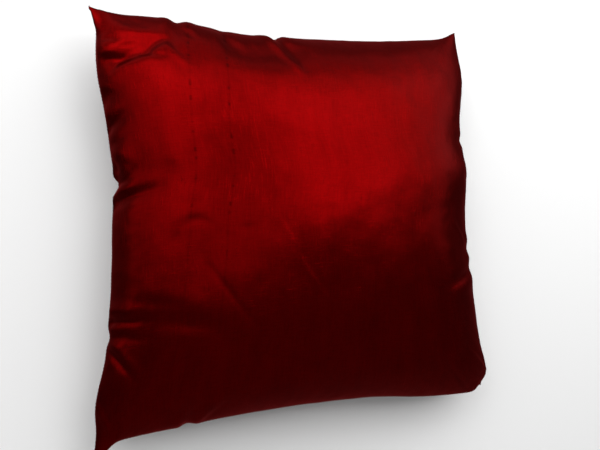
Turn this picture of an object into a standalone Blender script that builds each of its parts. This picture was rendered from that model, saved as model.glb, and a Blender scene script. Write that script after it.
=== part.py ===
"""A square knife-edge cushion in plain silk, lying on its back, built as one filled solid.

Two square panels are sewn together along all four sides and stuffed. Units are metres and +Z is up.
+X runs to the right of the face and +Y to its top. The origin is on the floor, under the cushion's middle.
"""

import math
from collections import namedtuple

import bmesh
import bpy
from mathutils import Vector

MM = 0.001

# The cover and its filling
PANEL = 400 * MM  # one panel, seam to seam, as it is cut
FRONT_CROWN = 68 * MM  # how far the face's middle stands above the seam
BACK_CROWN = 62 * MM  # how far the back would hang below the seam if no floor flattened it
SEAM_HEIGHT = 50 * MM  # the seam above the floor, at the middle of a side
CROWN_POWER = 2.5  # how flat the middle of the crown is
SHOULDER_POWER = 0.56  # how steeply the crown rises from the seam
FLOOR_BLEND = 5 * MM  # how softly the back turns up from the floor
BACK_FOLD_SHARE = 0.6  # how deep a fold runs on the back, as a share of its depth on the face

# The grid of each panel: finer towards the seams, where the folds are
CELLS = 44
EDGE_FINENESS = 0.72

SILK_RED = (0.24, 0.002, 0.004, 1.0)
SILK_ROUGHNESS = 0.38
SILK_METALLIC = 0.6

# The corners of the filled cover, and the ear that each seam corner is drawn out to. x and y are the
# corner's place without its ear, ear_x and ear_y how far the ear reaches past it, width the ear's root,
# and droop how far the corner hangs below the seam at the middle of a side. All are in millimetres.
Corner = namedtuple("Corner", "x y ear_x ear_y width droop")
TOP_LEFT = Corner(x=-192, y=202, ear_x=-5, ear_y=3, width=12, droop=-2)
TOP_RIGHT = Corner(x=205, y=204, ear_x=1, ear_y=6, width=14, droop=8)
BOTTOM_LEFT = Corner(x=-204, y=-204, ear_x=-4, ear_y=-18, width=10, droop=12)
BOTTOM_RIGHT = Corner(x=210, y=-206, ear_x=-5, ear_y=10, width=22, droop=10)

# How far the filling draws each side in at its middle, in millimetres, and how evenly
DrawnIn = namedtuple("DrawnIn", "depth power")
LEFT_SIDE = DrawnIn(depth=15, power=1.9)
RIGHT_SIDE = DrawnIn(depth=18, power=2.4)
TOP_SIDE = DrawnIn(depth=18, power=2.6)
BOTTOM_SIDE = DrawnIn(depth=17, power=2.2)

# Where a side swells back out between its puckers: at is the place along the side from -1 to 1, out and
# spread are in millimetres
Swell = namedtuple("Swell", "side at out spread")
SWELLS = (
    Swell(side="left", at=0.70, out=5, spread=40),
    Swell(side="left", at=-0.80, out=6, spread=30),
    Swell(side="right", at=0.72, out=11, spread=45),
    Swell(side="right", at=0.22, out=7, spread=32),
    Swell(side="top", at=-0.66, out=7, spread=45),
    Swell(side="bottom", at=0.62, out=4, spread=55),
)

# Folds, in millimetres and degrees. A fold starts at x, y, runs along heading for reach, and is a trough of
# that depth between soft banks, or a ridge where depth is negative. at_seam is the share of the depth that
# it has where it starts: 1 for a pucker that notches the seam, 0 for a crease that fades at both ends.
Fold = namedtuple("Fold", "x y heading reach width depth at_seam")
FOLDS = (
    # The top left corner: a deep fold across it, and the pucker where it meets the top seam
    Fold(x=-192, y=166, heading=14, reach=84, width=10, depth=7, at_seam=0.1),
    Fold(x=-116, y=192, heading=-75, reach=45, width=8, depth=5, at_seam=0.8),
    # Puckers down the left side
    Fold(x=-186, y=130, heading=20, reach=48, width=9, depth=4, at_seam=0.2),
    Fold(x=-182, y=104, heading=15, reach=42, width=9, depth=5, at_seam=0.2),
    Fold(x=-180, y=37, heading=12, reach=60, width=8, depth=7, at_seam=0.8),
    Fold(x=-188, y=-98, heading=2, reach=80, width=8, depth=6, at_seam=0.8),
    Fold(x=-172, y=-74, heading=-2, reach=85, width=9, depth=3, at_seam=0),
    Fold(x=-194, y=-124, heading=-48, reach=54, width=9, depth=4, at_seam=0.3),
    Fold(x=-204, y=-186, heading=55, reach=36, width=8, depth=4, at_seam=0.6),
    # Puckers along the top
    Fold(x=-68, y=190, heading=-80, reach=45, width=8, depth=3, at_seam=0.3),
    Fold(x=-16, y=186, heading=-55, reach=64, width=8, depth=5, at_seam=0.8),
    # Puckers down the right side
    Fold(x=196, y=76, heading=185, reach=45, width=8, depth=3.5, at_seam=1),
    Fold(x=190, y=-38, heading=160, reach=45, width=8, depth=5, at_seam=1),
    Fold(x=194, y=-76, heading=215, reach=42, width=9, depth=5, at_seam=0.2),
    # Puckers along the bottom
    Fold(x=-118, y=-194, heading=85, reach=35, width=7, depth=3, at_seam=1),
)


def clear_scene():
    for obj in list(bpy.data.objects):
        bpy.data.objects.remove(obj)


def silk():
    material = bpy.data.materials.new("red_silk")
    material.use_nodes = True
    finish = material.node_tree.nodes["Principled BSDF"]
    finish.inputs["Base Color"].default_value = SILK_RED
    finish.inputs["Roughness"].default_value = SILK_ROUGHNESS
    finish.inputs["Metallic"].default_value = SILK_METALLIC
    return material


def between(low, high, t):
    """The value at t, which runs from -1 at low to 1 at high."""
    return low + (high - low) * (t + 1) / 2


def drawn_in(name, side, t):
    """How far the side called name lies inside the line between its corners, t from -1 to 1 along it."""
    inset = side.depth * (1 - abs(t) ** side.power)
    half_panel = PANEL / MM / 2
    for swell in SWELLS:
        if swell.side == name:
            inset -= swell.out * math.exp(-(((t - swell.at) * half_panel / swell.spread) ** 2))
    return inset


def finer_at_edges(t):
    """A grid line's place from -1 to 1, with the lines closer together towards both ends."""
    return (1 - EDGE_FINENESS) * t + EDGE_FINENESS * math.sin(t * math.pi / 2)


def plan_place(u, v):
    """Where the point (u, v) of a panel lies, seen from above, in millimetres. u and v run from -1 to 1."""
    left = between(BOTTOM_LEFT.x, TOP_LEFT.x, v) + drawn_in("left", LEFT_SIDE, v)
    right = between(BOTTOM_RIGHT.x, TOP_RIGHT.x, v) - drawn_in("right", RIGHT_SIDE, v)
    bottom = between(BOTTOM_LEFT.y, BOTTOM_RIGHT.y, u) + drawn_in("bottom", BOTTOM_SIDE, u)
    top = between(TOP_LEFT.y, TOP_RIGHT.y, u) - drawn_in("top", TOP_SIDE, u)
    return between(left, right, u), between(bottom, top, v)


def seam_droop(u, v):
    """How far the seam plane hangs at (u, v), in millimetres: nothing mid-side, and each corner's droop at it."""
    top = between(TOP_LEFT.droop, TOP_RIGHT.droop, u)
    bottom = between(BOTTOM_LEFT.droop, BOTTOM_RIGHT.droop, u)
    return between(bottom, top, v) * abs(u * v) ** 3


def ear_offset(u, v):
    """How far the nearest ear pulls the point (u, v) outwards, in millimetres."""
    corners = {(-1, 1): TOP_LEFT, (1, 1): TOP_RIGHT, (-1, -1): BOTTOM_LEFT, (1, -1): BOTTOM_RIGHT}
    half_panel = PANEL / MM / 2
    pull = [0.0, 0.0]
    for (corner_u, corner_v), corner in corners.items():
        away = half_panel * math.hypot(u - corner_u, v - corner_v)
        share = math.exp(-((away / corner.width) ** 2))
        pull[0] += corner.ear_x * share
        pull[1] += corner.ear_y * share
    return pull


def crown(u, v):
    """How full the cushion is at (u, v), from 0 at the seam to 1 at the middle."""
    across = max(0.0, 1 - abs(u) ** CROWN_POWER)
    along = max(0.0, 1 - abs(v) ** CROWN_POWER)
    return (across * along) ** SHOULDER_POWER


def fold_depth(fold, x, y):
    """How far one fold sinks the cloth at x, y, all in millimetres: a trough with a soft bank on each side."""
    heading = math.radians(fold.heading)
    along = (x - fold.x) * math.cos(heading) + (y - fold.y) * math.sin(heading)
    across = (y - fold.y) * math.cos(heading) - (x - fold.x) * math.sin(heading)
    share = along / fold.reach
    if abs(share) >= 1:
        return 0.0
    at_start = math.cos(share * math.pi / 2) ** 2
    midway = math.sin(max(share, 0) * math.pi) ** 2
    fade = fold.at_seam * at_start + (1 - fold.at_seam) * midway
    spread = (across / fold.width) ** 2
    return fold.depth * fade * (1 - 1.2 * spread) * math.exp(-spread)


def resting_height(z):
    """The height z above the floor, with what would sink below the floor lying flat on it."""
    if z >= FLOOR_BLEND:
        return z
    if z <= -FLOOR_BLEND:
        return 0.0
    return (z + FLOOR_BLEND) ** 2 / (4 * FLOOR_BLEND)


def add_panel(bm, rise):
    """One panel as a grid whose edge lies on the seam. rise is how far its crown stands above the seam."""
    grid = bmesh.ops.create_grid(bm, x_segments=CELLS, y_segments=CELLS, size=1)
    for vert in grid["verts"]:
        u = finer_at_edges(vert.co.x)
        v = finer_at_edges(vert.co.y)
        x, y = plan_place(u, v)
        pull_x, pull_y = ear_offset(u, v)
        seam = SEAM_HEIGHT - seam_droop(u, v) * MM
        vert.co = ((x + pull_x) * MM, (y + pull_y) * MM, seam + rise * crown(u, v))


def press_folds(bm):
    """Moves each point along the cloth's normal, which notches the seam where a fold starts in it."""
    bm.normal_update()
    for vert in bm.verts:
        depth = sum(fold_depth(fold, vert.co.x / MM, vert.co.y / MM) for fold in FOLDS)
        on_back = max(0.0, -vert.normal.z)
        depth *= 1 - (1 - BACK_FOLD_SHARE) * on_back
        vert.co -= vert.normal * depth * MM


def make_cushion():
    bm = bmesh.new()
    add_panel(bm, FRONT_CROWN)
    add_panel(bm, -BACK_CROWN)
    bmesh.ops.remove_doubles(bm, verts=bm.verts, dist=0.01 * MM)
    bmesh.ops.recalc_face_normals(bm, faces=bm.faces)
    press_folds(bm)
    for vert in bm.verts:
        vert.co.z = resting_height(vert.co.z)
    mesh = bpy.data.meshes.new("cushion")
    bm.to_mesh(mesh)
    bm.free()
    mesh.shade_smooth()
    mesh.materials.append(silk())
    cushion = bpy.data.objects.new("cushion", mesh)
    cushion.location = Vector((0, 0, 0))
    return cushion


def main():
    clear_scene()
    parts = bpy.data.collections.new("silk_cushion")
    bpy.context.scene.collection.children.link(parts)
    parts.objects.link(make_cushion())


main()
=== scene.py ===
# %% [markdown]
# # A red silk cushion
#
# The object is one square scatter cushion: two panels of slubby red silk, sewn together inside out,
# turned, and stuffed until the sides draw in and the corners stand out as ears. This lesson starts from
# the imported CAD solid, which has the right size and place, and makes the same cushion again with the
# puckers, creases, seam and weave that a solid for measuring doesn't carry.
#
# Everything is in metres, +Z is up, and the origin is on the floor under the cushion's middle. The first
# step loads the CAD model.

# %% Load the CAD model
import math
from collections import namedtuple

import bpy
import numpy as np
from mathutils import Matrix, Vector, noise


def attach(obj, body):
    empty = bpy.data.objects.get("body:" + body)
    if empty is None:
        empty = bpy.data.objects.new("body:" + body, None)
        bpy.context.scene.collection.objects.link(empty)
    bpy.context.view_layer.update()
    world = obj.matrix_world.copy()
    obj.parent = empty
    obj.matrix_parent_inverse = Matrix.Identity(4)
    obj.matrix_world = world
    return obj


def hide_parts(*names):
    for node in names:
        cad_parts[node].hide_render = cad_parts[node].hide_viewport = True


MM = 0.001


def in_mm(metres):
    """A length, or each of several, in millimetres to one decimal, for the printed lines."""
    return np.round(np.array(metres, dtype=float) / MM, 1).tolist()


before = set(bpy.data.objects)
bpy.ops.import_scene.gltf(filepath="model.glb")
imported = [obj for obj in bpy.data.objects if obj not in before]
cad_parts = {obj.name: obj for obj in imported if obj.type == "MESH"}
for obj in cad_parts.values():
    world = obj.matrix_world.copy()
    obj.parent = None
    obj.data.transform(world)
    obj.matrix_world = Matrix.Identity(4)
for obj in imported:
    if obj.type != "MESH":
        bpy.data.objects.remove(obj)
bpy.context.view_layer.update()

# %% [markdown]
# ## The camera
#
# The photograph looks almost straight down at the cushion's face, from a little to its left and from
# close by, so that the left side looks longer than the right. A camera can be aimed with a constraint,
# but a fixed place and three angles are easier to read and never move. The angles are small because a
# camera that isn't turned at all looks straight down.

# %% The camera
CAMERA_PLACE = (-185 * MM, -61.3 * MM, 614 * MM)
CAMERA_ANGLES = (6.1, -17.67, -4.04)  # degrees about X, Y and Z
CAMERA_LENS = 35  # millimetres
PICTURE_WIDTH = 36  # millimetres, behind the lens


def put_in_scene(name, data):
    """A new object that holds the data."""
    obj = bpy.data.objects.new(name, data)
    bpy.context.scene.collection.objects.link(obj)
    return obj


def make_camera():
    lens = bpy.data.cameras.new("camera")
    lens.lens = CAMERA_LENS
    lens.sensor_width = PICTURE_WIDTH
    lens.clip_start = 10 * MM
    camera = put_in_scene("camera", lens)
    camera.location = CAMERA_PLACE
    camera.rotation_euler = [math.radians(angle) for angle in CAMERA_ANGLES]
    bpy.context.scene.camera = camera
    return camera


camera = make_camera()
print("camera", in_mm(camera.location.z), "mm above the floor")

# %% [markdown]
# ## The sizes of the cover
#
# The driving sizes are the CAD solid's own, and so are the corners and drawn-in sides but for one ear. The
# swells and folds follow the photograph more closely. A cushion could also be scaled from a cube, but
# then its sides would stay straight. Here each corner has its own place and ear, each side is drawn in by
# its own depth, and each fold has a start, a heading and a reach.

# %% Sizes and tables
PANEL = 400 * MM  # one panel, seam to seam, as it is cut
FRONT_CROWN = 68 * MM  # how far the face's middle stands above the seam
BACK_CROWN = 62 * MM  # how far the back would hang below the seam if no floor flattened it
SEAM_HEIGHT = 50 * MM  # the seam above the floor, at the middle of a side
CROWN_POWER = 2.5  # how flat the middle of the crown is
SHOULDER_POWER = 0.56  # how steeply the crown rises from the seam
FLOOR_BLEND = 5 * MM  # how softly the back turns up from the floor
BACK_FOLD_SHARE = 0.6  # how deep a fold runs on the back, as a share of its depth on the face
HALF_PANEL = PANEL / MM / 2  # millimetres, as in the tables

# Each seam corner, and the ear that it is drawn out to, in millimetres
Corner = namedtuple("Corner", "x y ear_x ear_y width droop")
TOP_LEFT = Corner(x=-192, y=202, ear_x=-5, ear_y=3, width=12, droop=-2)
TOP_RIGHT = Corner(x=205, y=204, ear_x=1, ear_y=6, width=14, droop=8)
BOTTOM_LEFT = Corner(x=-204, y=-204, ear_x=-4, ear_y=-18, width=10, droop=12)
BOTTOM_RIGHT = Corner(x=210, y=-206, ear_x=-9, ear_y=9, width=15, droop=10)

# How far the filling draws each side in at its middle, in millimetres, and how evenly
DrawnIn = namedtuple("DrawnIn", "depth power")
LEFT_SIDE = DrawnIn(depth=15, power=1.9)
RIGHT_SIDE = DrawnIn(depth=18, power=2.4)
TOP_SIDE = DrawnIn(depth=18, power=2.6)
BOTTOM_SIDE = DrawnIn(depth=17, power=2.2)

# Where a side swells back out: at is the place along it from -1 to 1, the rest is in millimetres
Swell = namedtuple("Swell", "side at out spread")
SWELLS = (
    Swell(side="left", at=0.70, out=5, spread=40),
    Swell(side="left", at=0.18, out=-4, spread=26),
    Swell(side="left", at=-0.80, out=6, spread=30),
    Swell(side="right", at=0.72, out=11, spread=45),
    Swell(side="right", at=0.2, out=8, spread=32),
    Swell(side="right", at=-0.86, out=4, spread=22),
    Swell(side="top", at=-0.66, out=7, spread=45),
    Swell(side="bottom", at=0.62, out=4, spread=55),
)

# The folds, in millimetres and degrees. at_seam is 1 for a pucker that notches the seam and 0 for a
# crease that fades at both ends.
Fold = namedtuple("Fold", "x y heading reach width depth at_seam")
FOLDS = (
    Fold(x=-116, y=192, heading=-95, reach=34, width=8, depth=4, at_seam=0.9),
    Fold(x=-184, y=31, heading=20, reach=26, width=7, depth=7, at_seam=1),
    Fold(x=-188, y=-106, heading=4, reach=20, width=8, depth=2.4, at_seam=1),
    Fold(x=-72, y=190, heading=-84, reach=40, width=8, depth=3, at_seam=0.3),
    Fold(x=-21, y=189, heading=-66, reach=36, width=8, depth=4, at_seam=1),
    Fold(x=196, y=76, heading=185, reach=20, width=7, depth=2.5, at_seam=1),
    Fold(x=190, y=-45, heading=170, reach=20, width=7, depth=2.5, at_seam=1),
    Fold(x=-124, y=-194, heading=85, reach=30, width=7, depth=3, at_seam=1),
)
print(len(FOLDS), "folds and", len(SWELLS), "swells round a panel of", round(PANEL / MM), "mm")

# %% [markdown]
# ## The outline, seen from above
#
# A point of a panel has two coordinates, u across and v up, each from -1 to 1. The outline is drawn in
# between the corners, and the points inside are spread evenly between opposite sides. Working on whole
# arrays of u and v at once is both shorter and much faster than a loop over the points.

# %% The outline
def between(low, high, t):
    """The value at t, which runs from -1 at low to 1 at high."""
    return low + (high - low) * (t + 1) / 2


def drawn_in(name, side, t):
    """How far the side called name lies inside the line between its corners, in millimetres."""
    inset = side.depth * (1 - np.abs(t) ** side.power)
    for swell in SWELLS:
        if swell.side == name:
            inset = inset - swell.out * np.exp(-(((t - swell.at) * HALF_PANEL / swell.spread) ** 2))
    return inset


def plan_place(u, v):
    """Where the points lie seen from above, with the ears drawn out, in millimetres."""
    left = between(BOTTOM_LEFT.x, TOP_LEFT.x, v) + drawn_in("left", LEFT_SIDE, v)
    right = between(BOTTOM_RIGHT.x, TOP_RIGHT.x, v) - drawn_in("right", RIGHT_SIDE, v)
    bottom = between(BOTTOM_LEFT.y, BOTTOM_RIGHT.y, u) + drawn_in("bottom", BOTTOM_SIDE, u)
    top = between(TOP_LEFT.y, TOP_RIGHT.y, u) - drawn_in("top", TOP_SIDE, u)
    x = between(left, right, u)
    y = between(bottom, top, v)
    corners = {(-1, 1): TOP_LEFT, (1, 1): TOP_RIGHT, (-1, -1): BOTTOM_LEFT, (1, -1): BOTTOM_RIGHT}
    for (corner_u, corner_v), corner in corners.items():
        away = HALF_PANEL * np.hypot(u - corner_u, v - corner_v)
        share = np.exp(-((away / corner.width) ** 2))
        x = x + corner.ear_x * share
        y = y + corner.ear_y * share
    return x, y


def seam_place(u, v):
    """The seam plane's height at the points, in metres: it hangs lower towards most corners."""
    top = between(TOP_LEFT.droop, TOP_RIGHT.droop, u)
    bottom = between(BOTTOM_LEFT.droop, BOTTOM_RIGHT.droop, u)
    return SEAM_HEIGHT - between(bottom, top, v) * np.abs(u * v) ** 3 * MM


def crown(u, v):
    """How full the cushion is at the points, from 0 at the seam to 1 at the middle."""
    across = np.maximum(0, 1 - np.abs(u) ** CROWN_POWER)
    along = np.maximum(0, 1 - np.abs(v) ** CROWN_POWER)
    return (across * along) ** SHOULDER_POWER


middle_left = plan_place(np.array(-1.0), np.array(0.0))[0]
middle_right = plan_place(np.array(1.0), np.array(0.0))[0]
print("across the middle", in_mm((middle_right - middle_left) * MM), "mm")

# %% [markdown]
# ## Two panels, one seam
#
# Each panel is a grid, and the two grids share the points on the seam, as two pieces of cloth share a row
# of stitches. A grid of squares bends like woven cloth, which gives along its threads and across them.
# The lines are a little closer together near the seam, where the puckers are. The filling swells the
# cover later, so it starts slightly flatter than the finished cushion.

# %% The two panels
CELLS = 110  # squares along each side of a panel
EDGE_FINENESS = 0.3
BEFORE_FILLING = 0.88  # the crown before the cover is filled, as a share of its height
SEAM_EASE = 1.012  # how much wider the panels start, because rolled edges and the groove draw them in


def grid_lines():
    t = np.linspace(-1, 1, CELLS + 1)
    return (1 - EDGE_FINENESS) * t + EDGE_FINENESS * np.sin(t * math.pi / 2)


def numbered_grids():
    """The point numbers of both panels, as square tables that agree on the seam."""
    front = np.arange((CELLS + 1) ** 2).reshape(CELLS + 1, CELLS + 1)
    back = front.copy()
    back[1:-1, 1:-1] = np.arange((CELLS - 1) ** 2).reshape(CELLS - 1, CELLS - 1) + front.size
    return front, back


def quads(numbers):
    """The four points of every square, counter-clockwise as seen from above."""
    corners = (numbers[:-1, :-1], numbers[1:, :-1], numbers[1:, 1:], numbers[:-1, 1:])
    return np.stack(corners, axis=-1).reshape(-1, 4)


def panel_points(rise):
    lines = grid_lines()
    u, v = np.meshgrid(lines, lines, indexing="ij")
    x, y = plan_place(u, v)
    z = seam_place(u, v) + rise * crown(u, v)
    ease = SEAM_EASE - (SEAM_EASE - 1) * np.abs(u * v) ** 3
    return np.stack((x * MM * ease, y * MM * ease, z), axis=-1)


def sew_panels():
    front, back = numbered_grids()
    points = np.zeros((back.max() + 1, 3))
    points[back] = panel_points(-BACK_CROWN * BEFORE_FILLING)
    points[front] = panel_points(FRONT_CROWN * BEFORE_FILLING)
    faces = np.concatenate((quads(front), quads(back)[:, ::-1]))
    mesh = bpy.data.meshes.new("silk_cover")
    mesh.from_pydata(points.tolist(), [], faces.tolist())
    mesh.shade_smooth()
    return put_in_scene("silk_cover", mesh)


cover = sew_panels()
print("cover of", len(cover.data.polygons), "squares")

# %% [markdown]
# ## Folds
#
# A fold starts at the seam, where the stitching gathers the cloth, and fades towards the middle. It could
# be sculpted by hand, but a formula keeps each fold's place and depth as numbers that can be checked
# against the photograph. Each point moves along its own normal, so a fold that starts in the seam also
# notches the outline.

# %% Folds
BANK_RISE = 1.2  # how far the banks beside a fold rise


def vectors_of(items, name):
    numbers = np.empty(len(items) * 3, dtype=np.float32)
    items.foreach_get(name, numbers)
    return numbers.reshape(-1, 3).astype(float)


def points_of(mesh):
    return vectors_of(mesh.vertices, "co")


def normals_of(mesh):
    return vectors_of(mesh.vertex_normals, "vector")


def put_points(mesh, points):
    mesh.vertices.foreach_set("co", points.astype(np.float32).ravel())
    mesh.update()


def along_and_across(place, x, y):
    """How far the points lie along the place's heading and to its left, in millimetres."""
    heading = math.radians(place.heading)
    along = (x - place.x) * math.cos(heading) + (y - place.y) * math.sin(heading)
    across = (y - place.y) * math.cos(heading) - (x - place.x) * math.sin(heading)
    return along, across


def fold_depth(fold, x, y):
    """How far one fold sinks the cloth, in millimetres: a trough with a soft bank on each side."""
    along, across = along_and_across(fold, x, y)
    share = np.clip(along / fold.reach, -1, 1)
    at_start = np.cos(share * math.pi / 2) ** 2
    midway = np.sin(np.maximum(share, 0) * math.pi) ** 2
    fade = fold.at_seam * at_start + (1 - fold.at_seam) * midway
    spread = (across / fold.width) ** 2
    return fold.depth * fade * (1 - BANK_RISE * spread) * np.exp(-spread)


def press_folds(mesh):
    points, normals = points_of(mesh), normals_of(mesh)
    depth = sum(fold_depth(fold, points[:, 0] / MM, points[:, 1] / MM) for fold in FOLDS)
    on_back = np.maximum(0, -normals[:, 2])
    depth = depth * (1 - (1 - BACK_FOLD_SHARE) * on_back)
    put_points(mesh, points - normals * depth[:, None] * MM)
    return depth


fold_depths = press_folds(cover.data)
print("deepest fold", in_mm(fold_depths.max() * MM), "mm")

# %% [markdown]
# ## Filling the cover
#
# Real cloth is spare along a drawn-in seam, and it has to go somewhere: into puckers that no formula
# draws as well as a cloth simulation does. The cover gets a Cloth modifier with air pressure inside for
# the filling, no gravity, a pinned seam, and slightly more cloth than its shape needs (a negative
# shrink). After 20 frames it has settled. A trace of seeded unevenness lets the puckers form, because
# perfectly even cloth would have no reason to fold one way or the other.
#
# The result is copied out as plain points, and the modifier is removed. No point may end up far from its
# place, so that the cushion keeps its measured outline.

# %% Filling
FRAMES = 20
SPARE_CLOTH = 0.001
LARGEST_MOVE = 16 * MM
UNEVENNESS = 0.1 * MM
UNEVEN_SEED = 3


def seam_numbers():
    front, _ = numbered_grids()
    return np.unique(np.concatenate((front[0], front[-1], front[:, 0], front[:, -1])))


def add_cloth(obj):
    seam = obj.vertex_groups.new(name="seam")
    seam.add(seam_numbers().tolist(), 1.0, "REPLACE")
    cloth = obj.modifiers.new("filling", "CLOTH")
    silk = cloth.settings
    silk.quality = 8
    silk.mass = 0.1
    silk.tension_stiffness = 200
    silk.compression_stiffness = 200
    silk.shear_stiffness = 40
    silk.bending_stiffness = 1.5
    silk.air_damping = 1
    silk.shrink_min = -SPARE_CLOTH
    silk.use_pressure = True
    silk.uniform_pressure_force = 300
    silk.vertex_group_mass = "seam"
    silk.pin_stiffness = 1
    silk.effector_weights.gravity = 0
    cloth.point_cache.frame_start = 1
    cloth.point_cache.frame_end = FRAMES
    return cloth


def fill_cover(obj):
    before = points_of(obj.data)
    uneven = np.random.default_rng(UNEVEN_SEED).normal(0, UNEVENNESS, len(before))
    uneven[seam_numbers()] = 0
    put_points(obj.data, before + normals_of(obj.data) * uneven[:, None])
    cloth = add_cloth(obj)
    scene = bpy.context.scene
    for number in range(1, FRAMES + 1):
        scene.frame_set(number)
    filled = obj.evaluated_get(bpy.context.evaluated_depsgraph_get())
    after = points_of(filled.to_mesh())
    filled.to_mesh_clear()
    scene.frame_set(1)
    obj.modifiers.remove(cloth)
    obj.vertex_groups.clear()
    moved = np.linalg.norm(after - before, axis=1)
    share = np.minimum(1, LARGEST_MOVE / np.maximum(moved, 1e-9))
    put_points(obj.data, before + (after - before) * share[:, None])
    return moved


moved = fill_cover(cover)
print("points moved", in_mm(moved.mean()), "mm on average and", in_mm(moved.max()), "mm at most")

# %% [markdown]
# ## A map that follows the threads
#
# A weave that is painted by height or by a box projection slides off the threads where the cloth curves.
# So each corner of each square gets map coordinates in metres of cloth, measured along the rows and the
# columns of the filled cover. The back panel's map lies beside the front's.

# %% The thread map
BACK_MAP_SHIFT = 0.6  # metres


def thread_lengths(points, axis):
    """How far each grid line lies from the middle one, measured over the cloth and averaged."""
    steps = np.linalg.norm(np.diff(points, axis=axis), axis=2)
    quarter = CELLS // 4
    steps = steps[:, quarter:-quarter] if axis == 0 else steps[quarter:-quarter].T
    lengths = np.concatenate(([0], np.cumsum(steps.mean(axis=1))))
    return lengths - lengths[CELLS // 2]


def map_corners(columns, rows):
    u, v = np.meshgrid(columns, rows, indexing="ij")
    both = np.stack((u, v), axis=-1)
    corners = (both[:-1, :-1], both[1:, :-1], both[1:, 1:], both[:-1, 1:])
    return np.stack(corners, axis=2).reshape(-1, 4, 2)


def map_threads(mesh):
    front, back = numbered_grids()
    points = points_of(mesh)
    front_points, back_points = points[front], points[back]
    front_map = map_corners(thread_lengths(front_points, 0), thread_lengths(front_points, 1))
    back_map = map_corners(thread_lengths(back_points, 0), thread_lengths(back_points, 1))
    back_map = back_map[:, ::-1] + (BACK_MAP_SHIFT, 0)
    layer = mesh.uv_layers.new(name="threads")
    layer.uv.foreach_set("vector", np.concatenate((front_map, back_map)).astype(np.float32).ravel())
    return front_map


front_map = map_threads(cover.data)
size = front_map.reshape(-1, 2).max(axis=0) - front_map.reshape(-1, 2).min(axis=0)
print("the front panel's cloth is", in_mm(size[0]), "by", in_mm(size[1]), "mm")

# %% [markdown]
# ## Smoothing
#
# One level of Subdivision Surface rounds the squares and leaves four times as many, enough for creases a
# few millimetres wide. The seam is creased, so that it stays a knife edge while the panels round off.
# Copying the evaluated mesh leaves no modifier behind.

# %% Smoothing
SEAM_SHARPNESS = 0.7


def edge_ends(mesh):
    """The numbers of the two points that each edge joins."""
    ends = np.empty(len(mesh.edges) * 2, dtype=np.int32)
    mesh.edges.foreach_get("vertices", ends)
    return ends.reshape(-1, 2)


def crease_seam(mesh):
    on_seam = np.zeros(len(mesh.vertices), dtype=bool)
    on_seam[seam_numbers()] = True
    both = on_seam[edge_ends(mesh)].all(axis=1)
    sharpness = mesh.attributes.new("crease_edge", "FLOAT", "EDGE")
    sharpness.data.foreach_set("value", both.astype(np.float32) * SEAM_SHARPNESS)
    return int(both.sum())


def plain_mesh(obj, name):
    """The object's mesh with its modifiers applied, as a mesh of its own."""
    evaluated = obj.evaluated_get(bpy.context.evaluated_depsgraph_get())
    mesh = bpy.data.meshes.new_from_object(evaluated)
    mesh.name = name
    return mesh


seam_edges = crease_seam(cover.data)
smooth = cover.modifiers.new("smooth", "SUBSURF")
smooth.levels = 1
smooth.render_levels = 1
silk_mesh = plain_mesh(cover, "silk_cushion")
bpy.data.objects.remove(cover)
silk_cushion = put_in_scene("silk_cushion", silk_mesh)
print("seam of", seam_edges, "edges, and a cushion of", len(silk_mesh.polygons), "faces")

# %% [markdown]
# ## The flat of the top left corner
#
# The top left corner isn't round: a flat of silk lies between the seam and the deep fold, and it faces
# a light, so it is the brightest spot of the photograph. It could be sculpted, but a plane is easier to
# aim. The surface is drawn towards a plane that curls down a little both ways, most at its middle and
# fading out over a tapered oval whose outline isn't quite even.

# %% The flat corner
# The place and size are in millimetres and the heading in degrees. The falls are slopes towards +X and +Y,
# and the curls are how much the slope changes in each millimetre.
Flat = namedtuple("Flat", "x y z length width taper heading fall_x fall_y curl_along curl_across")
CORNER_FLAT = Flat(
    x=-165, y=163, z=69, length=33, width=12.5, taper=0.4, heading=10,
    fall_x=-0.2, fall_y=0.14, curl_along=0.004, curl_across=0.012,
)
WANDER = 0.5  # how uneven the outline is
WANDER_SIZE = 14 * MM
FACE_TILT = 0.05  # how far a normal points up, at least, on the cushion's face


def noise_at(points, size):
    """Smooth noise at each point, from about -1 to 1, with lumps of that size in metres."""
    return np.array([noise.noise(Vector(point) / size) for point in points])


def press_flat(mesh, flat):
    points, normals = points_of(mesh), normals_of(mesh)
    x, y, z = (points / MM).T
    along, across = along_and_across(flat, x, y)
    uneven = 1 + WANDER * noise_at(points, WANDER_SIZE)
    width = flat.width * (1 - flat.taper * np.clip(along / flat.length, -1, 1))
    reach = ((along / flat.length) ** 2 + (across / width) ** 2) * uneven
    curled = flat.z - flat.fall_x * (x - flat.x) - flat.fall_y * (y - flat.y)
    curled -= (flat.curl_along * along ** 2 + flat.curl_across * across ** 2) / 2
    lift = np.where(normals[:, 2] > FACE_TILT, np.exp(-(reach ** 2)) * (curled - z), 0)
    points[:, 2] += lift * MM
    put_points(mesh, points)
    return lift


lift = press_flat(silk_mesh, CORNER_FLAT) * MM
print("the corner was moved by", in_mm(lift.min()), "to", in_mm(lift.max()), "mm")
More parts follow.
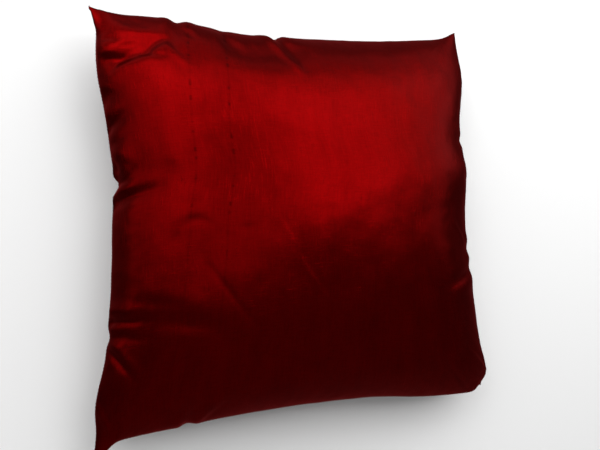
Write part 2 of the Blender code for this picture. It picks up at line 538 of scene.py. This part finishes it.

# %% [markdown]
# ## Creases
#
# The photograph shows a few fine lines where the silk was once folded sharply, and puckers that run in
# from the seam. Most are only a millimetre or so deep, but silk shows them, because its shine changes
# with the smallest turn of the surface. They could be painted as a bump, but then the mesh itself would
# lack them, so they are pressed into it.
#
# A crease is a curve between two named ends, bent towards a third point. It is a valley with a raised lip
# on its left, and a negative depth makes it a ridge. Its right-hand bank is far times as wide.

# %% Creases
# In millimetres, but lip is the lip's height as a share of the depth, and far is a number of times
Crease = namedtuple("Crease", "start bend end width depth lip far", defaults=(0.4, 1))
CREASES = (
    # The fine creases in the middle, and the dimples beside them
    Crease((-54, -120), (-80, -84), (-110, -40), width=2.8, depth=0.55, lip=0),
    Crease((-42, -8), (-34, -24), (-24, -42), width=2, depth=-0.3),
    Crease((-28, -38), (-16, -64), (8, -94), width=2.2, depth=-0.6, lip=0.5),
    Crease((-42, -74), (-38, -84), (-30, -96), width=2.2, depth=0.35, lip=0.2),
    Crease((-126, -16), (-114, 4), (-96, -18), width=4, depth=0.35),
    Crease((-78, -14), (-70, -19), (-58, -14), width=3, depth=0.25, lip=0.5),
    # The top left corner: the bright ridge that runs into the ear, and the flank beside it
    Crease((-200, 208), (-196, 192), (-184, 176), width=3.2, depth=-2, lip=0.3),
    Crease((-140, 184), (-166, 188), (-206, 206), width=7, depth=0.8, lip=0.6),
    # The deep fold under the flat, and its branches
    Crease((-198, 158), (-170, 134), (-124, 170), width=5.6, depth=3, lip=0.2),
    Crease((-162, 152), (-174, 146), (-187, 130), width=3.4, depth=1.2, lip=0.2),
    Crease((-158, 152), (-144, 154), (-130, 145), width=3.4, depth=1.1, lip=0.3),
    Crease((-188, 168), (-180, 172), (-170, 166), width=3, depth=0.9, lip=0.2),
    Crease((-174, 158), (-164, 163), (-152, 161), width=3, depth=0.6, lip=0.2),
    # Along the top: the puckers on either side of the bright streaks
    Crease((-122, 194), (-126, 176), (-122, 150), width=4.5, depth=1.4, lip=0.9),
    Crease((-132, 166), (-124, 148), (-106, 132), width=3.2, depth=-0.8),
    Crease((-28, 190), (-20, 160), (0, 124), width=4.4, depth=-2.1, far=1.1),
    Crease((8, 170), (-38, 140), (-84, 172), width=14, depth=1.8, lip=0.6),
    # Down the left side
    Crease((-202, 110), (-184, 112), (-166, 122), width=7.5, depth=1.2, lip=0.6),
    Crease((-208, 78), (-188, 84), (-164, 98), width=6, depth=2.8),
    Crease((-186, 60), (-176, 74), (-160, 86), width=4.5, depth=0.35, lip=0.3),
    Crease((-192, 64), (-184, 48), (-171, 34), width=6, depth=3.8),
    Crease((-188, 24), (-178, 32), (-166, 42), width=2.2, depth=-1, lip=0),
    Crease((-232, 14), (-186, 14), (-134, 26), width=6.5, depth=3.6, lip=0.3, far=1.1),
    # The lower left: soft folds, the puckers below them, and the two bright ridges
    Crease((-176, -76), (-148, -77), (-118, -84), width=5, depth=0.45),
    Crease((-154, -95), (-124, -94), (-86, -107), width=8, depth=1.3, lip=0.3),
    Crease((-224, -90), (-192, -95), (-150, -90), width=4.5, depth=3, lip=0.5),
    Crease((-178, -106), (-165, -110), (-152, -108), width=3, depth=0.4, lip=0.3),
    Crease((-200, -108), (-186, -122), (-166, -150), width=3.2, depth=1.5),
    Crease((-205, -160), (-200, -176), (-190, -194), width=2.4, depth=-1),
    # Down the right side
    Crease((150, -12), (165, -26), (182, -48), width=2.4, depth=-0.6),
    Crease((198, -62), (170, -74), (134, -84), width=5.5, depth=1.7, lip=0.7),
)
CURVE_POINTS = 60
CREASE_REACH = 8  # how many widths from its curve a crease is still felt
LIP_PLACE = 2  # the lip's crest and its width, also in widths
LIP_WIDTH = 1.4
FADE_SKEW = 0.85  # below 1, a crease is deepest before its middle
FADE_POWER = 1.1


def crease_depth(crease, x, y):
    """How far the crease sinks the cloth, in millimetres, with its lip on one side."""
    start, bend, end = np.array((crease.start, crease.bend, crease.end), dtype=float)
    depth = np.zeros_like(x)
    nearest = np.full_like(x, CREASE_REACH * crease.width * crease.far)
    for t in np.linspace(0, 1, CURVE_POINTS):
        at_x, at_y = (1 - t) ** 2 * start + 2 * t * (1 - t) * bend + t * t * end
        run_x, run_y = (1 - t) * (bend - start) + t * (end - bend)
        away = np.hypot(x - at_x, y - at_y)
        closer = away < nearest
        across = ((y - at_y) * run_x - (x - at_x) * run_y) / math.hypot(run_x, run_y)
        widths = across / crease.width
        valley = np.exp(-((widths / np.where(across < 0, crease.far, 1)) ** 2))
        lip = crease.lip * np.exp(-(((widths - LIP_PLACE) / LIP_WIDTH) ** 2))
        fade = math.sin(math.pi * t ** FADE_SKEW) ** FADE_POWER
        depth = np.where(closer, (valley - lip) * crease.depth * fade, depth)
        nearest = np.minimum(nearest, away)
    return depth


def press_creases(mesh):
    points, normals = points_of(mesh), normals_of(mesh)
    face_side = normals[:, 2] > 0
    x, y = points[face_side, 0] / MM, points[face_side, 1] / MM
    depth = sum(crease_depth(crease, x, y) for crease in CREASES)
    points[face_side] -= normals[face_side] * depth[:, None] * MM
    put_points(mesh, points)
    return depth


crease_depths = press_creases(silk_mesh) * MM
print(len(CREASES), "creases from", in_mm(crease_depths.min()), "to", in_mm(crease_depths.max()), "mm")

# %% [markdown]
# ## Dents in the filling
#
# Stuffing is lumpy. Dents a few centimetres across and a fraction of a millimetre deep can't be seen as
# shapes, but they bend the edge of every reflection. Smooth noise over the surface makes them, the same
# on each run, because Blender's noise depends on the place alone.

# %% Dents
Dent = namedtuple("Dent", "size depth")  # millimetres
DENTS = (Dent(size=60, depth=0.8), Dent(size=22, depth=0.3), Dent(size=10, depth=0.06))


def dent_filling(mesh):
    points, normals = points_of(mesh), normals_of(mesh)
    rise = sum(dent.depth * noise_at(points, dent.size * MM) for dent in DENTS)
    put_points(mesh, points + normals * rise[:, None] * MM)
    return rise


dents = dent_filling(silk_mesh) * MM
print("dents from", in_mm(dents.min()), "to", in_mm(dents.max()), "mm")

# %% [markdown]
# ## The seam, and the floor
#
# A cover that is sewn inside out and turned shows its seam as a fine groove between two rolled edges.
# Pulling the seam's own points inwards makes the groove, because the rows on either side stay.
#
# Last, the cushion lies down: what would sink below the floor lies flat on it, and the back turns up
# softly round that flat patch.

# %% The seam and the floor
SEAM_GROOVE = 1.0 * MM
FLAT_WITHIN = 0.01 * MM  # what is this close to the floor lies flat on it
LEAST_SHARPNESS = 0.01  # an edge that is sharper is on the seam


def seam_ends(mesh):
    """The two points of each edge of the seam, which is where the edges are creased."""
    sharp = np.empty(len(mesh.edges), dtype=np.float32)
    mesh.attributes["crease_edge"].data.foreach_get("value", sharp)
    return edge_ends(mesh)[sharp > LEAST_SHARPNESS]


def groove_seam(mesh, seam):
    points, normals = points_of(mesh), normals_of(mesh)
    numbers = np.unique(seam)
    points[numbers] -= normals[numbers] * SEAM_GROOVE
    put_points(mesh, points)


def lie_on_floor(mesh):
    points = points_of(mesh)
    z = points[:, 2]
    blended = (z + FLOOR_BLEND) ** 2 / (4 * FLOOR_BLEND)
    points[:, 2] = np.where(z >= FLOOR_BLEND, z, np.where(z <= -FLOOR_BLEND, 0, blended))
    put_points(mesh, points)
    return points


seam = seam_ends(silk_mesh)
groove_seam(silk_mesh, seam)
resting = lie_on_floor(silk_mesh)
patch = resting[resting[:, 2] < FLAT_WITHIN]
print("seam of", len(seam), "edges, the top", in_mm(resting[:, 2].max()), "mm above the floor")
print("the patch on the floor is", in_mm(np.ptp(patch[:, 0])), "by", in_mm(np.ptp(patch[:, 1])), "mm")

# %% [markdown]
# ## What silk looks like
#
# This silk is woven from uneven thread. Seen close, it has three things: a plain weave of fine threads,
# slubs, which are short thick stretches of a thread that stand up as streaks along the weave, and two
# faint dark lines down the panel where the cloth was once pressed in a fold, whose darkness is painted
# shade. Each is a node group that reads the thread map in metres and puts out a height or a mask, so the
# sewing thread can share the weave.

# %% The weave group
def new_group(name, inputs, outputs):
    """A shader node group with plain number inputs. Returns the group, its first and its last node."""
    group = bpy.data.node_groups.new(name, "ShaderNodeTree")
    group.interface.new_socket("Map", in_out="INPUT", socket_type="NodeSocketVector")
    for socket, value in inputs.items():
        made = group.interface.new_socket(socket, in_out="INPUT", socket_type="NodeSocketFloat")
        made.default_value = value
    for socket in outputs:
        group.interface.new_socket(socket, in_out="OUTPUT", socket_type="NodeSocketFloat")
    return group, group.nodes.new("NodeGroupInput"), group.nodes.new("NodeGroupOutput")


def feed(socket, value):
    """Links an input to another node's output, or gives it a plain value."""
    if isinstance(value, bpy.types.NodeSocket):
        socket.id_data.links.new(value, socket)
    else:
        socket.default_value = value


def feed_all(node, **values):
    """Feeds the inputs that are named, with an underscore where a name has a space."""
    for name, value in values.items():
        feed(node.inputs[name.replace("_", " ")], value)


def math_node(tree, operation, *values, clamp=False):
    """A Math node fed by sockets or numbers. Returns its output."""
    node = tree.nodes.new("ShaderNodeMath")
    node.operation = operation
    node.use_clamp = clamp
    for socket, value in zip(node.inputs, values):
        feed(socket, value)
    return node.outputs[0]


def sum_of(tree, first, *others):
    """The sockets or numbers added up, from the first on."""
    for other in others:
        first = math_node(tree, "ADD", first, other)
    return first


def product_of(tree, first, *others):
    """The sockets or numbers multiplied together, from the first on."""
    for other in others:
        first = math_node(tree, "MULTIPLY", first, other)
    return first


def split_map(tree, source):
    node = tree.nodes.new("ShaderNodeSeparateXYZ")
    feed_all(node, Vector=source)
    return node.outputs["X"], node.outputs["Y"]


def make_weave_group():
    """Height of a plain weave, from 0 to 1: warp threads over weft threads, by turns."""
    group, start, end = new_group("plain_weave", {"Thread Pitch": 0.7 * MM}, ["Height"])
    waves = []
    for side in split_map(group, start.outputs["Map"]):
        threads = math_node(group, "DIVIDE", side, start.outputs["Thread Pitch"])
        waves.append(math_node(group, "SINE", product_of(group, threads, math.pi)))
    feed_all(end, Height=sum_of(group, product_of(group, *waves, 0.5), 0.5))
    return group


weave_group = make_weave_group()
print(weave_group.name, "has", len(weave_group.nodes), "nodes")

# %% [markdown]
# A slub is long and thin, so it comes from noise that is stretched along one thread direction. Two such
# noises, one for each direction, are cut off below a level, so that only their peaks stand up, and a wider
# noise gathers them in patches. The group also puts out how light the streaks are, because thick threads
# take the dye less evenly. An image of real silk would do as well, but it would have to be read from disk.

# %% The slub group
WARP_LEVEL = 0.62  # a warp slub stands where its noise is above this
WEFT_LEVEL = 0.64
WEFT_SHARE = 0.35  # how high the weft's slubs are beside the warp's
PATCH_LEVEL = 0.3  # slubs stand only where the patches' noise is above this
PATCH_CONTRAST = 2.2
STREAK_SHARES = {"bands": 0.22, "patches": 0.28, "warp": 0.32, "weft": 0.28}


def stretched_noise(tree, across, along, width, length, detail, seed):
    """Noise whose features are width across the thread and length along it, both in metres."""
    moved = sum_of(tree, math_node(tree, "DIVIDE", along, length), seed)
    place = tree.nodes.new("ShaderNodeCombineXYZ")
    feed_all(place, X=math_node(tree, "DIVIDE", across, width), Y=moved)
    node = tree.nodes.new("ShaderNodeTexNoise")
    node.noise_dimensions = "2D"
    feed_all(node, Vector=place.outputs[0], Scale=1.0, Detail=detail, Roughness=0.55)
    return node.outputs[0]


def above(tree, source, level, times=1.0, clamp=False):
    """How far the source is above a level, times a number. It is nothing below the level."""
    past = math_node(tree, "SUBTRACT", source, level, clamp=True)
    return math_node(tree, "MULTIPLY", past, times, clamp=clamp)


def make_slub_group():
    inputs = {"Warp Width": 1.2 * MM, "Warp Length": 15 * MM, "Weft Width": 1.0 * MM, "Weft Length": 13 * MM}
    group, start, end = new_group("silk_slubs", inputs, ["Height", "Streaks"])
    size = start.outputs
    across, along = split_map(group, size["Map"])
    noises = {
        "bands": stretched_noise(group, across, along, 11 * MM, 120 * MM, 2, 5.3),
        "patches": stretched_noise(group, across, along, 26 * MM, 34 * MM, 1, 1.9),
        "warp": stretched_noise(group, across, along, size["Warp Width"], size["Warp Length"], 1, 3.7),
        "weft": stretched_noise(group, along, across, size["Weft Width"], size["Weft Length"], 1, 9.1),
    }
    warp_slubs = above(group, noises["warp"], WARP_LEVEL)
    weft_slubs = above(group, noises["weft"], WEFT_LEVEL, WEFT_SHARE)
    patchy = above(group, noises["patches"], PATCH_LEVEL, PATCH_CONTRAST)
    height = product_of(group, sum_of(group, warp_slubs, weft_slubs), patchy)
    streaks = [product_of(group, noises[name], share) for name, share in STREAK_SHARES.items()]
    feed_all(end, Height=height, Streaks=sum_of(group, *streaks))
    return group


slub_group = make_slub_group()
print(slub_group.name, "has", len(slub_group.nodes), "nodes")

# %% [markdown]
# The pressed lines run up the panel, a few degrees off its threads, and fade out near its bottom. Each is
# a thin line of painted shade where the fold was, with darker dots of painted shade along it, like beads
# on a string. The line is the distance from one column of the map, which sways a little. The dots are
# where a noise along the line is high. They come in clusters, from a longer noise, and there are none on
# the lower half.

# %% The pressed line group
SWAY = 3 * MM
SHADE_DOT_LEVEL = 0.53  # a dot of painted shade is where its noise is above this, inside a cluster
CLUSTER_LEVEL = 0.35
SHADE_DOTS_END = -30 * MM  # where the dots and the line of painted shade end, measured up the panel from its middle
LINE_END = -150 * MM


def noise_along(tree, source, scale, detail):
    """Noise that changes in one direction only."""
    node = tree.nodes.new("ShaderNodeTexNoise")
    node.noise_dimensions = "1D"
    feed_all(node, W=source, Scale=scale, Detail=detail)
    return node.outputs[0]


# The line and the dots on it are masks of painted shade, where a fold was once pressed.
def make_line_shade_group():
    inputs = {"Place": -0.12, "Slant": 0.08, "Width": 1.2 * MM, "Dot Length": 8 * MM, "Seed": 1.0}
    group, start, end = new_group("pressed_line_shade", inputs, ["Line", "Snags"])
    size = start.outputs
    across, along = split_map(group, size["Map"])
    sway = math_node(group, "SUBTRACT", noise_along(group, along, scale=9.0, detail=1.0), 0.5)
    leaning = product_of(group, along, size["Slant"])
    swayed = math_node(group, "SUBTRACT", product_of(group, sway, SWAY), leaning)
    away = math_node(group, "SUBTRACT", sum_of(group, across, swayed), size["Place"])
    ratio = math_node(group, "DIVIDE", away, size["Width"])
    line = math_node(group, "EXPONENT", product_of(group, ratio, ratio, -1.0))
    beads = sum_of(group, math_node(group, "DIVIDE", along, size["Dot Length"]), size["Seed"])
    shade_dots = above(group, noise_along(group, beads, scale=1.0, detail=1.0), SHADE_DOT_LEVEL, 9.0, clamp=True)
    crowded = above(group, noise_along(group, beads, scale=0.2, detail=2.0), CLUSTER_LEVEL, 8.0, clamp=True)
    upper = above(group, along, SHADE_DOTS_END, 25.0, clamp=True)
    fading = above(group, along, LINE_END, 12.0, clamp=True)
    feed_all(end, Line=product_of(group, line, fading), Snags=product_of(group, line, shade_dots, crowded, upper))
    return group


line_shade_group = make_line_shade_group()
print(line_shade_group.name, "has", len(line_shade_group.nodes), "nodes")

# %% [markdown]
# ## The silk
#
# Silk isn't metal, but its smooth threads throw light back in their own colour, as metal does, which is
# why red silk has a red highlight and not a white one. So the material is mostly metallic with a deep
# red, a reddish edge tint and a fairly low roughness. The slubs change its colour and height a little,
# the pressed lines darken its colour with painted shade, and the weave is a fine bump under all of them.

# %% The silk material
SILK_DARK = (0.075, 0.00015, 0.0003, 1.0)
SILK_LIGHT = (0.118, 0.0003, 0.0005, 1.0)
# painted shade: the colour of the dark dots along the pressed lines
SILK_DOT_SHADE = (0.045, 0.0001, 0.0002, 1.0)
SILK_EDGE = (1.0, 0.02, 0.02, 1.0)
SILK_ROUGHNESS = 0.28
SILK_METALLIC = 0.9
STREAKS_FROM, STREAKS_TO = 0.35, 0.75  # the streaks, less the painted shade of the pressed lines, that are as dark and as light as the dye gets
# painted shade: how much darker the silk's colour is along the pressed lines
PAINTED_LINE_SHADE = 0.12
LEFT_LINE, RIGHT_LINE = -124.5 * MM, -90.5 * MM  # places across the panel


def new_material(name):
    """A material, its node tree and its Principled BSDF."""
    material = bpy.data.materials.new(name)
    material.use_nodes = True
    return material, material.node_tree, material.node_tree.nodes["Principled BSDF"]


def mix_colours(tree, first, second, share):
    """From the first colour to the second, by a share from 0 to 1."""
    node = tree.nodes.new("ShaderNodeMix")
    node.data_type = "RGBA"
    feed_all(node, Factor=share, A=first, B=second)
    return node.outputs["Result"]


def put_group(tree, group, source, **values):
    node = tree.nodes.new("ShaderNodeGroup")
    node.node_tree = group
    feed_all(node, Map=source, **values)
    return node


def bump(tree, **values):
    node = tree.nodes.new("ShaderNodeBump")
    feed_all(node, **values)
    return node.outputs[0]


def make_silk():
    material, tree, finish = new_material("red_silk")
    threads = tree.nodes.new("ShaderNodeUVMap")
    threads.uv_map = "threads"
    weave = put_group(tree, weave_group, threads.outputs[0])
    slubs = put_group(tree, slub_group, threads.outputs[0])
    left = put_group(tree, line_shade_group, threads.outputs[0], Place=LEFT_LINE, Seed=1.0)
    right = put_group(tree, line_shade_group, threads.outputs[0], Place=RIGHT_LINE, Seed=7.0)
    # the pressed lines and the dots on them are painted shade, mixed into the base colour
    lines = sum_of(tree, left.outputs["Line"], right.outputs["Line"])
    shade_dots = math_node(tree, "ADD", left.outputs["Snags"], right.outputs["Snags"], clamp=True)
    streaks_less_line_shade = math_node(tree, "SUBTRACT", slubs.outputs["Streaks"], product_of(tree, lines, PAINTED_LINE_SHADE))
    streaks = tree.nodes.new("ShaderNodeMapRange")
    feed_all(streaks, Value=streaks_less_line_shade, From_Min=STREAKS_FROM, From_Max=STREAKS_TO)
    dyed_and_shaded = mix_colours(tree, SILK_DARK, SILK_LIGHT, streaks.outputs["Result"])
    relief = bump(tree, Height=weave.outputs["Height"], Distance=0.04 * MM, Strength=0.25)
    relief = bump(tree, Height=slubs.outputs["Height"], Distance=0.9 * MM, Strength=0.8, Normal=relief)
    feed_all(finish, Base_Color=mix_colours(tree, dyed_and_shaded, SILK_DOT_SHADE, shade_dots), Normal=relief)
    feed_all(finish, Roughness=SILK_ROUGHNESS, Metallic=SILK_METALLIC, Specular_Tint=SILK_EDGE)
    return material


red_silk = make_silk()
silk_mesh.materials.clear()
silk_mesh.materials.append(red_silk)
print(red_silk.name, "has", len(red_silk.node_tree.nodes), "nodes")

# %% [markdown]
# ## The stitches
#
# Where the seam is stretched, its stitches show as a row of tiny dashes at the bottom of the groove. That
# is some five hundred of one shape along one path, which is what Geometry Nodes are for: the seam's edges
# become a curve, the curve gets points at the stitch pitch, and each point gets a small spindle of thread,
# turned to the curve's direction.

# %% The stitch tree
STITCH_PITCH = 3.2 * MM
STITCH_LENGTH = 2.3 * MM
STITCH_THICKNESS = 0.5 * MM
THREAD_DARK = (0.05, 0.001, 0.002, 1.0)
THREAD_LIGHT = (0.10, 0.002, 0.004, 1.0)
THREAD_ROUGHNESS = 0.6


def make_thread():
    material, tree, finish = new_material("sewing_thread")
    place = tree.nodes.new("ShaderNodeTexCoord")
    twist = put_group(tree, slub_group, place.outputs["Object"])
    colour = mix_colours(tree, THREAD_DARK, THREAD_LIGHT, twist.outputs["Streaks"])
    feed_all(finish, Base_Color=colour, Roughness=THREAD_ROUGHNESS)
    return material


def make_stitch_tree():
    tree = bpy.data.node_groups.new("stitch_row", "GeometryNodeTree")
    tree.interface.new_socket("Geometry", in_out="INPUT", socket_type="NodeSocketGeometry")
    for name in ("Pitch", "Length", "Thickness"):
        tree.interface.new_socket(name, in_out="INPUT", socket_type="NodeSocketFloat")
    tree.interface.new_socket("Thread", in_out="INPUT", socket_type="NodeSocketMaterial")
    tree.interface.new_socket("Geometry", in_out="OUTPUT", socket_type="NodeSocketGeometry")
    start, end = tree.nodes.new("NodeGroupInput"), tree.nodes.new("NodeGroupOutput")
    path = tree.nodes.new("GeometryNodeMeshToCurve")
    spaced = tree.nodes.new("GeometryNodeResampleCurve")
    spaced.mode = "LENGTH"
    direction = tree.nodes.new("GeometryNodeInputTangent")
    turn = tree.nodes.new("FunctionNodeAlignRotationToVector")
    turn.axis = "Z"
    spindle = tree.nodes.new("GeometryNodeMeshUVSphere")
    feed_all(spindle, Segments=6, Rings=5, Radius=0.5)
    shape = tree.nodes.new("ShaderNodeCombineXYZ")
    placed = tree.nodes.new("GeometryNodeInstanceOnPoints")
    real = tree.nodes.new("GeometryNodeRealizeInstances")
    finish = tree.nodes.new("GeometryNodeSetMaterial")
    links = (
        (start, "Geometry", path, "Mesh"),
        (path, "Curve", spaced, "Curve"),
        (start, "Pitch", spaced, "Length"),
        (direction, "Tangent", turn, "Vector"),
        (start, "Thickness", shape, "X"),
        (start, "Thickness", shape, "Y"),
        (start, "Length", shape, "Z"),
        (spaced, "Curve", placed, "Points"),
        (spindle, "Mesh", placed, "Instance"),
        (turn, "Rotation", placed, "Rotation"),
        (shape, "Vector", placed, "Scale"),
        (placed, "Instances", real, "Geometry"),
        (real, "Geometry", finish, "Geometry"),
        (start, "Thread", finish, "Material"),
        (finish, "Geometry", end, "Geometry"),
    )
    for source, output, target, socket in links:
        feed(target.inputs[socket], source.outputs[output])
    return tree


stitch_tree = make_stitch_tree()
print(stitch_tree.name, "has", len(stitch_tree.nodes), "nodes")

# %% Sew the stitches
def seam_path(mesh, edges):
    """A mesh of the seam's edges alone, for the stitches to follow."""
    numbers, ends = np.unique(edges, return_inverse=True)
    points = points_of(mesh)[numbers]
    path = bpy.data.meshes.new("seam_path")
    path.from_pydata(points.tolist(), ends.reshape(-1, 2).tolist(), [])
    return path


def sew_stitches(path):
    row = put_in_scene("stitch_row", path)
    sewing = row.modifiers.new("stitches", "NODES")
    sewing.node_group = stitch_tree
    values = {
        "Pitch": STITCH_PITCH,
        "Length": STITCH_LENGTH,
        "Thickness": STITCH_THICKNESS,
        "Thread": make_thread(),
    }
    for socket in stitch_tree.interface.items_tree:
        if socket.in_out == "INPUT" and socket.name in values:
            sewing[socket.identifier] = values[socket.name]
    mesh = plain_mesh(row, "seam_stitches")
    bpy.data.objects.remove(row)
    return put_in_scene("seam_stitches", mesh)


seam_stitches = sew_stitches(seam_path(silk_mesh, seam))
print(len(seam_stitches.data.polygons), "faces in the row of stitches")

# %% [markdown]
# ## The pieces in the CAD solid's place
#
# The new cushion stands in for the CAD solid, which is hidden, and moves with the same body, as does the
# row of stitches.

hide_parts("cushion")
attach(silk_cushion, "root")
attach(seam_stitches, "root")

# %% [markdown]
# ## The studio
#
# Silk's look is mostly the reflection of what is round it. The photograph's shine gives that away: a large
# bright window beyond the cushion's top and to its right makes the broad bright field with a soft lower
# edge, a screen beside it and lamps on the left make the dimmer field there, and a small bright lamp lights
# the flat of the top left corner. The dark lower half mirrors the unlit side of the room.
#
# One big soft light would be simpler, but it is equally bright all over. A room picture could hold all of
# this, but it would have to be read from disk. So each light here is one rectangle of sky, and together
# they make the window's and the lamps' brighter and dimmer parts. The floor is plain and pale.

# %% The floor
FLOOR_HALF = 6.0  # metres
FLOOR_GREY = (0.76, 0.76, 0.76, 1.0)


def make_floor():
    material, _, finish = new_material("pale_floor")
    feed_all(finish, Base_Color=FLOOR_GREY, Roughness=0.9)
    mesh = bpy.data.meshes.new("floor")
    corners = [(x * FLOOR_HALF, y * FLOOR_HALF, 0) for x, y in ((-1, -1), (1, -1), (1, 1), (-1, 1))]
    mesh.from_pydata(corners, [], [(0, 1, 2, 3)])
    mesh.materials.append(material)
    floor = put_in_scene("floor", mesh)
    floor.visible_glossy = False  # the silk mirrors the room, but not the floor
    return floor


floor = make_floor()
print("floor", round(floor.dimensions.x, 1), "m wide")

# %% The lights
# Each light fills a rectangle of sky. Its sides are in degrees from straight up, towards +X and +Y.
Light = namedtuple("Light", "name left right bottom top radiance")
LIGHTS = (
    Light("window, left", left=8, right=20, bottom=5, top=30, radiance=3.2),
    Light("window, sill", left=20, right=42, bottom=6.5, top=14, radiance=6.0),
    Light("window, middle", left=20, right=42, bottom=14, top=30, radiance=2.95),
    Light("window, bright middle", left=8, right=28, bottom=30, top=50, radiance=4.2),
    Light("window, right of it", left=28, right=42, bottom=30, top=52, radiance=2.75),
    Light("window top", left=8, right=42, bottom=52, top=66, radiance=2.3),
    Light("window far side", left=42, right=60, bottom=9, top=66, radiance=2.1),
    Light("window end", left=60, right=76, bottom=7, top=66, radiance=1.4),
    Light("screen, low", left=-26, right=8, bottom=-8, top=30, radiance=1.3),
    Light("screen, left", left=-26, right=-8, bottom=30, top=36, radiance=2.6),
    Light("screen, high", left=-8, right=8, bottom=32, top=66, radiance=2.5),
    Light("corner lamp", left=-34, right=-8, bottom=36, top=47, radiance=4.4),
    Light("corner lamp's top", left=-34, right=-8, bottom=47, top=58, radiance=3.0),
    Light("left lamp, low", left=-44, right=-26, bottom=2, top=14, radiance=1.5),
    Light("left lamp", left=-44, right=-26, bottom=14, top=36, radiance=2.75),
    Light("left lamp's top", left=-44, right=-34, bottom=36, top=54, radiance=1.2),
    Light("left lamp's rim", left=-62, right=-44, bottom=6, top=60, radiance=1.3),
    Light("wall", left=-82, right=-62, bottom=12, top=66, radiance=0.85),
    Light("ceiling, left", left=-60, right=8, bottom=67, top=90, radiance=1.0),
    Light("ceiling, right", left=8, right=80, bottom=67, top=90, radiance=0.78),
)
LIGHT_DISTANCE = 1.7  # metres


def make_light(plan):
    """A rectangle of light that faces the cushion. Its power follows from how bright its surface is."""
    lean_x, lean_y = math.radians(plan.left + plan.right) / 2, math.radians(plan.bottom + plan.top) / 2
    lamp = bpy.data.lights.new(plan.name, "AREA")
    lamp.shape = "RECTANGLE"
    lamp.size = 2 * LIGHT_DISTANCE * math.tan(math.radians(plan.right - plan.left) / 2)
    lamp.size_y = 2 * LIGHT_DISTANCE * math.tan(math.radians(plan.top - plan.bottom) / 2) * math.cos(lean_x)
    lamp.energy = math.pi * lamp.size * lamp.size_y * plan.radiance
    light = put_in_scene(plan.name, lamp)
    light.rotation_mode = "ZYX"
    light.rotation_euler = (-lean_y, lean_x, 0)
    towards = light.rotation_euler.to_matrix() @ Vector((0, 0, 1))
    light.location = Vector((0, 0, SEAM_HEIGHT)) + towards * LIGHT_DISTANCE
    light.visible_camera = False
    return lamp.energy


for plan in LIGHTS:
    print(plan.name, round(make_light(plan), 1), "watts")

# %% [markdown]
# Where no light stands, the silk mirrors the walls. They are grey, darker to the left and right and a
# little brighter in front, below the cushion's foot. Past its top they glow, most of all on the left. A
# world shader does this from the direction alone, whose three numbers run from -1 to 1.

# %% The room
ROOM_BRIGHTNESS = 0.25
SIDE_SHADE = 0.17  # how much darker it is at the left and right
FRONT_GLOW = 0.05  # how much brighter it is in front
BACK_GLOW = 0.12  # how much brighter it is past the cushion's top
CORNER_GLOW = 1.2  # how fast it brightens past the top towards the left
CORNER_LIMIT = 0.25  # and how much at most


def make_room():
    room = bpy.data.worlds.new("room")
    room.use_nodes = True
    tree = room.node_tree
    direction = tree.nodes.new("ShaderNodeTexCoord")
    sideways, beyond = split_map(tree, direction.outputs["Generated"])
    left = math_node(tree, "MULTIPLY", sideways, -1.0, clamp=True)
    past = math_node(tree, "MULTIPLY", beyond, 1.0, clamp=True)
    strength = sum_of(
        tree,
        ROOM_BRIGHTNESS,
        product_of(tree, sideways, sideways, -SIDE_SHADE),
        product_of(tree, beyond, -FRONT_GLOW),
        product_of(tree, past, past, BACK_GLOW),
        math_node(tree, "MINIMUM", product_of(tree, left, past, CORNER_GLOW), CORNER_LIMIT),
    )
    feed_all(tree.nodes["Background"], Color=(1, 1, 1, 1), Strength=strength)
    return room


bpy.context.scene.world = make_room()
bpy.context.scene.view_settings.view_transform = "Standard"
print("room lit from", len(LIGHTS), "rectangles of sky")
